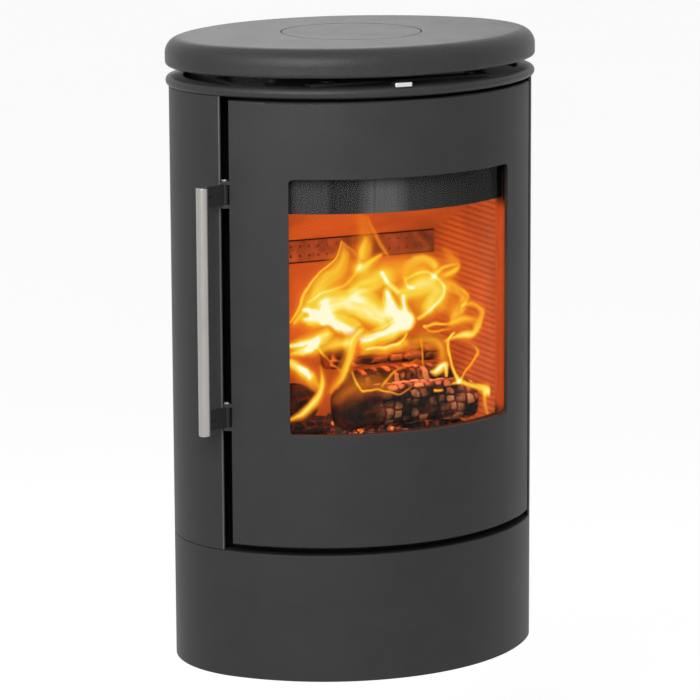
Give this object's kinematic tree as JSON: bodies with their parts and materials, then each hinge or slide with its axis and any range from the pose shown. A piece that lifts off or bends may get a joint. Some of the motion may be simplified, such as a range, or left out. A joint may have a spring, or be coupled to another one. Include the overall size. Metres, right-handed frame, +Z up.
{
  "type": "wall-mounted wood stove",
  "caption": "Wall-mounted wood stove with an oval body, a curved glass door, an upright bar handle, a rear flue collar and a wall bracket.",
  "frame": {"origin": "centre of the wall bracket's four bolts, on the wall's face", "axes": "+X to the stove's right as seen from the front, +Y back into the wall, +Z up"},
  "size_m": [0.4473, 0.366, 0.7175],
  "materials": {
    "stove_paint": "matt dark grey stove paint on fine cast iron",
    "panel_paint": "matt dark grey stove paint on sheet steel",
    "hidden_steel": "matt black heat-proof paint",
    "stainless": "brushed stainless steel",
    "screw_steel": "plain zinc-plated steel",
    "fire_board": "matt heat-proof board, lightly sooted",
    "bare_iron": "bare iron, burnt dull",
    "window_glass": "clear heat-proof glass",
    "seal_rope": "dark braided glass fibre",
    "ember": "glowing charcoal and ash",
    "charred_wood": "charred, cracked and glowing wood"
  },
  "bodies": {
    "stove": {"air_bar": "bare_iron", "air_box": "hidden_steel", "air_guide": "hidden_steel", "air_spigot": "hidden_steel", "back_panel": "panel_paint", "baffle": "fire_board", "base_plate": "hidden_steel", "base_shell": "stove_paint", "ember_bed": "ember", "firebox_back": "hidden_steel", "firebox_front": "stove_paint", "firebox_shell": "hidden_steel", "floor_plate": "hidden_steel", "flue_cover": "stove_paint", "flue_spigot": "hidden_steel", "grate": "bare_iron", "grate_frame": "bare_iron", "hanger_frame": "hidden_steel", "hinge_pins": "screw_steel", "hinge_washer": "screw_steel", "latch_keepers": "hidden_steel", "lining_back": "fire_board", "lining_left": "fire_board", "lining_right": "fire_board", "lock_screws": "screw_steel", "log_back": "charred_wood", "log_front": "charred_wood", "log_middle": "charred_wood", "pan_runners": "hidden_steel", "shutter_guides": "screw_steel", "side_panel_left": "panel_paint", "side_panel_right": "panel_paint", "spigot_screws": "screw_steel", "tie_rods": "screw_steel", "top_frame": "stove_paint", "top_plate": "stove_paint", "wall_bracket": "hidden_steel"},
    "door": {"door_shell": "stove_paint", "door_frame": "stove_paint", "window_glass": "window_glass", "glass_tape": "seal_rope", "door_rope": "seal_rope", "wash_strip": "hidden_steel", "door_screws": "screw_steel", "handle_pins": "screw_steel"},
    "door_handle": {"handle_bar": "stainless", "handle_bracket_lower": "stainless", "handle_bracket_upper": "stainless", "handle_studs": "screw_steel"},
    "air_control": {"air_shutter": "hidden_steel", "lever_tip": "stainless"},
    "ash_pan": {"ash_pan": "hidden_steel"},
    "top_disc": {"top_disc": "stove_paint"}
  },
  "joints": [
    {"name": "door_hinge", "type": "hinge", "parent": "stove", "child": "door", "pos_m": [0.1735, -0.2669, 0], "axis": [0, 0, 1], "range_deg": [0, 90]},
    {"name": "handle_turn", "type": "hinge", "parent": "door", "child": "door_handle", "pos_m": [-0.1894, -0.2673, 0], "axis": [0, 0, 1], "range_deg": [0, 35]},
    {"name": "air_slide", "type": "slide", "parent": "stove", "child": "air_control", "axis": [1, 0, 0], "range_m": [-0.012, 0.012]},
    {"name": "pan_slide", "type": "slide", "parent": "stove", "child": "ash_pan", "axis": [0, -1, 0], "range_m": [0, 0.1]},
    {"name": "disc_lift", "type": "slide", "parent": "stove", "child": "top_disc", "axis": [0, 0, 1], "range_m": [0, 0.15]}
  ],
  "couplings": [
    {"joint": "pan_slide", "follows": "door_hinge", "m_per_rad": 0.063}
  ]
}
